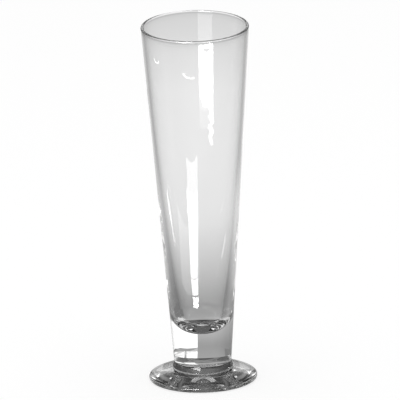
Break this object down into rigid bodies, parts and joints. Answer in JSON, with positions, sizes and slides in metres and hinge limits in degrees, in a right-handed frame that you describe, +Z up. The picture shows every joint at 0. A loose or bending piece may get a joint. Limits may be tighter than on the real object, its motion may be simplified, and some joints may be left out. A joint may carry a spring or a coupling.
{
  "type": "beer goblet",
  "caption": "Tall footed beer glass: a tapering bowl with a heavy bottom on a short solid stem, a rounded collar and a domed round foot.",
  "frame": {"origin": "middle of the foot, in the plane that the glass stands on", "axes": "+Z up along the axis of the glass, towards the rim; the glass is round, so +X and +Y are free"},
  "size_m": [0.0678, 0.0678, 0.23],
  "materials": {
    "bowl_glass": "fire-polished clear glass",
    "stem_glass": "fire-polished clear glass",
    "collar_glass": "fire-polished clear glass",
    "foot_glass": "fire-polished clear glass"
  },
  "bodies": {
    "root": {"bowl": "bowl_glass", "stem": "stem_glass", "collar": "collar_glass", "foot": "foot_glass"}
  },
  "joints": []
}
